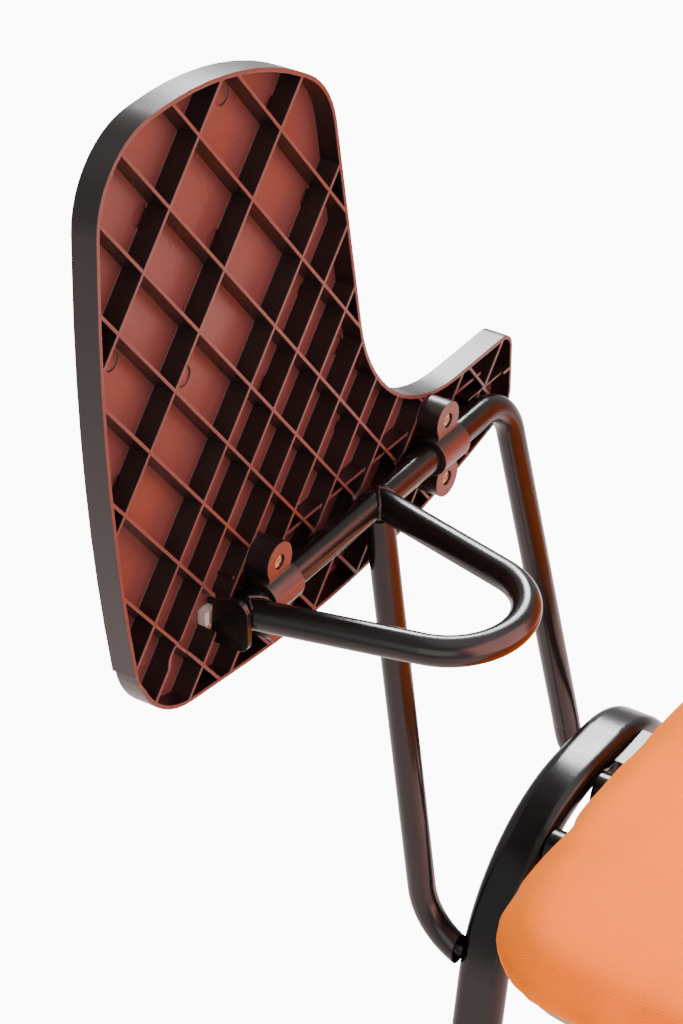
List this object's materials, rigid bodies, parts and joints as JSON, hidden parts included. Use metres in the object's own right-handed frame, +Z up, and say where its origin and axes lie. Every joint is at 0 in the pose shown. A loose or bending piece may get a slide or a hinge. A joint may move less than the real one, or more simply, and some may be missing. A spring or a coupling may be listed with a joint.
{
  "type": "stacking chair",
  "caption": "Stacking visitor chair with a black oval-tube frame, orange upholstered seat and back, and a ribbed black writing tablet that folds up beside the sitter.",
  "frame": {"origin": "on the floor under the middle of the seat, midway between the side frames", "axes": "+X to the sitter's left, -Y the way the chair faces, +Z up"},
  "size_m": [0.6544, 0.6636, 0.9386],
  "materials": {
    "frame_paint": "semi-gloss black powder coat",
    "black_plastic": "moulded semi-gloss",
    "upholstery": "orange woven upholstery",
    "plywood": "plain plywood",
    "zinc": "yellow-zinc plated screws",
    "foot_rubber": "matte black",
    "bumper_rubber": "matte grey"
  },
  "bodies": {
    "frame": {"side_frame_right": "frame_paint", "side_frame_left": "frame_paint", "cross_tubes": "frame_paint", "seat_brackets": "frame_paint", "back_upright_right": "frame_paint", "back_upright_left": "frame_paint", "foot_caps": "foot_rubber", "seat_board": "plywood", "seat_cushion": "upholstery", "seat_screws": "zinc", "back_board": "plywood", "back_cushion": "upholstery", "back_shell": "black_plastic", "back_screws": "zinc", "tablet_arm_tube": "frame_paint", "tablet_front_leg": "frame_paint", "tablet_loop": "frame_paint", "stop_plate": "frame_paint"},
    "tablet": {"tablet_panel": "black_plastic", "tablet_bumper": "bumper_rubber", "clamp_front": "black_plastic", "clamp_rear": "black_plastic", "clamp_screws": "zinc"}
  },
  "joints": [
    {"name": "tablet_hinge", "type": "hinge", "parent": "frame", "child": "tablet", "pos_m": [-0.343, -0.1, 0.645], "axis": [0, 1, 0], "range_deg": [0, 90]}
  ]
}
